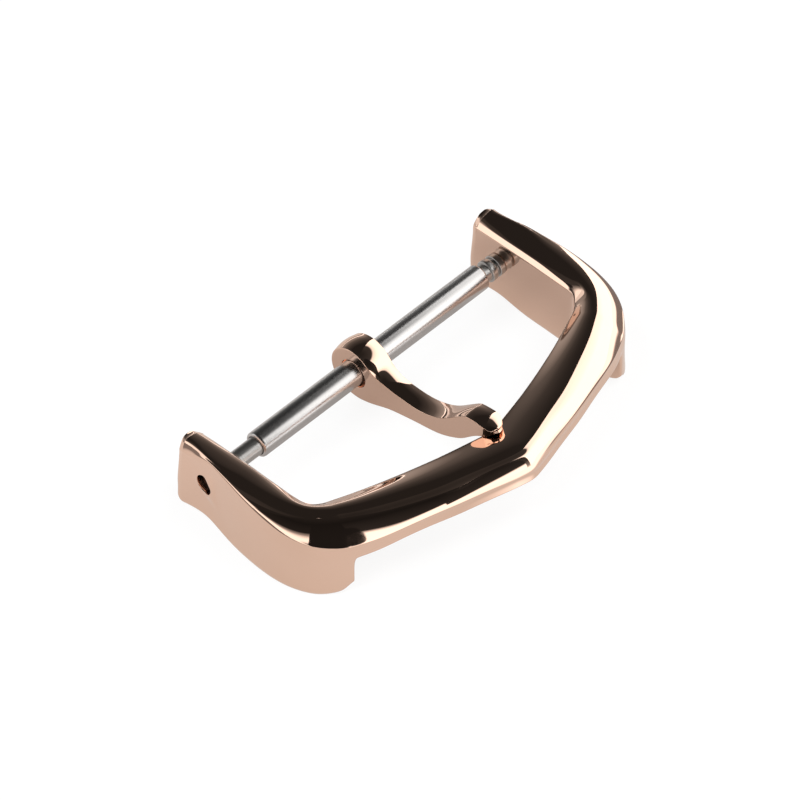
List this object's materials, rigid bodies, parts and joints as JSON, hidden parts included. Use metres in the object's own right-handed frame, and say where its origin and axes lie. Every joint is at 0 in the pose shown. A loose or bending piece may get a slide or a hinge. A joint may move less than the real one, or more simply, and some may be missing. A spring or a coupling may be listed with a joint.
{
  "type": "watch tang buckle",
  "caption": "Polished tang buckle for a watch strap: an arched frame with two ears, a curved tang and a sprung bar that holds the strap's end.",
  "frame": {"origin": "middle of the spring bar's axis, halfway between the ears", "axes": "+X along the spring bar towards the end with two flanges, +Z out of the polished top, and the cross bar lies at -Y"},
  "size_m": [0.0218, 0.013, 0.0047],
  "materials": {
    "rose_gold": "mirror polished, plated rose gold",
    "rose_gold_tang": "mirror polished, plated rose gold",
    "bar_steel": "polished bare steel",
    "pin_steel": "turned bare steel",
    "spring_steel": "drawn spring wire"
  },
  "bodies": {
    "frame": {"frame": "rose_gold"},
    "tang": {"tang": "rose_gold_tang"},
    "bar_tube": {"bar_tube": "bar_steel", "coil_spring": "spring_steel"},
    "left_pin": {"left_pin": "pin_steel"},
    "right_pin": {"right_pin": "pin_steel"}
  },
  "joints": [
    {"name": "tang_swing", "type": "hinge", "parent": "frame", "child": "tang", "pos_m": [0, 0, 0], "axis": [-1, 0, 0], "range_deg": [0, 345]},
    {"name": "bar_spin", "type": "hinge", "parent": "frame", "child": "bar_tube", "pos_m": [0, 0, 0], "axis": [1, 0, 0], "continuous": true},
    {"name": "left_pin_slide", "type": "slide", "parent": "frame", "child": "left_pin", "axis": [1, 0, 0], "range_m": [0, 0.0014], "stiffness_N_per_m": 500, "springref_m": -0.002, "deforming": ["coil_spring"]},
    {"name": "right_pin_slide", "type": "slide", "parent": "frame", "child": "right_pin", "axis": [-1, 0, 0], "range_m": [0, 0.0003], "stiffness_N_per_m": 500, "springref_m": -0.002, "deforming": ["coil_spring"]}
  ]
}
